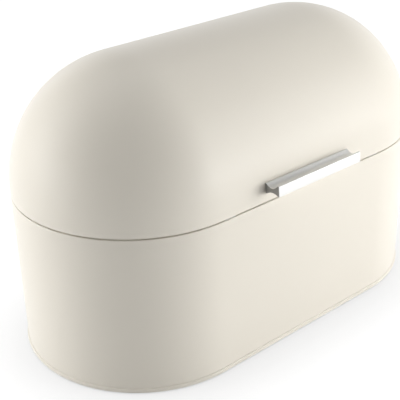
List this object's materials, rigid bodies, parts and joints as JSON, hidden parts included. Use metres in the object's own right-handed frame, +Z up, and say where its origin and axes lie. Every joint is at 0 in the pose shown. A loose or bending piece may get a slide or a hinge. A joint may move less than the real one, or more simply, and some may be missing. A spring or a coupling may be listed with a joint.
{
  "type": "bread box",
  "caption": "Sheet steel bread box with straight sides and half-round ends, a domed lid hinged at the back and a metal bar handle on the front of the lid.",
  "frame": {"origin": "on the counter, under the middle of the box's plan", "axes": "+X along the front to the viewer's right, +Y to the back where the hinges are, +Z up"},
  "size_m": [0.377, 0.2273, 0.2385],
  "materials": {
    "body_paint": "warm off-white powder coat, satin gloss",
    "handle_metal": "satin, brushed lengthwise",
    "hinge_steel": "plain zinc-bright steel",
    "foot_rubber": "matt black rubber",
    "pad_silicone": "pale silicone"
  },
  "bodies": {
    "base": {"base_wall": "body_paint", "base_panel": "body_paint", "rim_collar": "body_paint", "rim_pads": "pad_silicone", "foot_front_left": "foot_rubber", "foot_front_right": "foot_rubber", "foot_back_left": "foot_rubber", "foot_back_right": "foot_rubber", "hinge_base_leaf_left": "hinge_steel", "hinge_base_leaf_right": "hinge_steel", "hinge_pin_left": "hinge_steel", "hinge_pin_right": "hinge_steel", "base_rivets_left": "hinge_steel", "base_rivets_right": "hinge_steel"},
    "lid": {"lid_shell": "body_paint", "handle_bar": "handle_metal", "handle_screws": "hinge_steel", "handle_washers": "hinge_steel", "hinge_lid_leaf_left": "hinge_steel", "hinge_lid_leaf_right": "hinge_steel", "lid_rivets_left": "hinge_steel", "lid_rivets_right": "hinge_steel"}
  },
  "joints": [
    {"name": "lid_hinge", "type": "hinge", "parent": "base", "child": "lid", "pos_m": [0, 0.10325, 0.134], "axis": [-1, 0, 0], "range_deg": [0, 95]}
  ]
}
